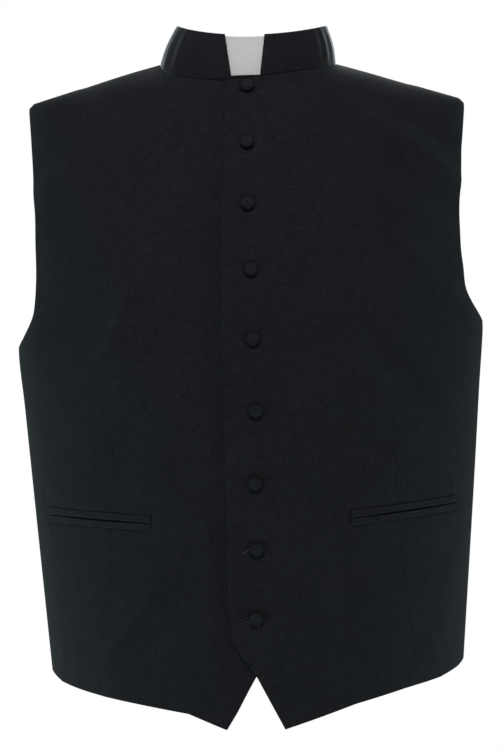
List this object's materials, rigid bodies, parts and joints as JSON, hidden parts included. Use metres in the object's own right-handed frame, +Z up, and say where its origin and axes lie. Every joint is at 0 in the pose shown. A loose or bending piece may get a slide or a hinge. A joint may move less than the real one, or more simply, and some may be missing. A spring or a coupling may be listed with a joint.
{
  "type": "clergy vest",
  "caption": "Sleeveless black vest in its worn shape, with a standing collar, white collar tab, covered buttons and welt pockets.",
  "frame": {"origin": "in the middle plane of the body, level with the neck ends of the shoulder seams, where the wearer's shoulders hold the vest", "axes": "+Z up, the front faces -Y, +X is the wearer's left"},
  "size_m": [0.453, 0.2717, 0.675],
  "materials": {
    "front_cloth": "matt, fine close weave",
    "back_cloth": "matt, fine close weave",
    "collar_cloth": "matt, fine close weave",
    "welt_cloth": "matt, fine close weave",
    "button_cloth": "matt, fine close weave",
    "tab_cloth": "smooth, stiffened"
  },
  "bodies": {
    "root": {"front_left": "front_cloth", "front_right": "front_cloth", "back": "back_cloth", "collar": "collar_cloth", "collar_tab": "tab_cloth", "pocket_upper_welt_left": "welt_cloth", "pocket_lower_welt_left": "welt_cloth", "pocket_upper_welt_right": "welt_cloth", "pocket_lower_welt_right": "welt_cloth", "button_1": "button_cloth", "button_2": "button_cloth", "button_3": "button_cloth", "button_4": "button_cloth", "button_5": "button_cloth", "button_6": "button_cloth", "button_7": "button_cloth", "button_8": "button_cloth", "button_9": "button_cloth"}
  },
  "joints": []
}
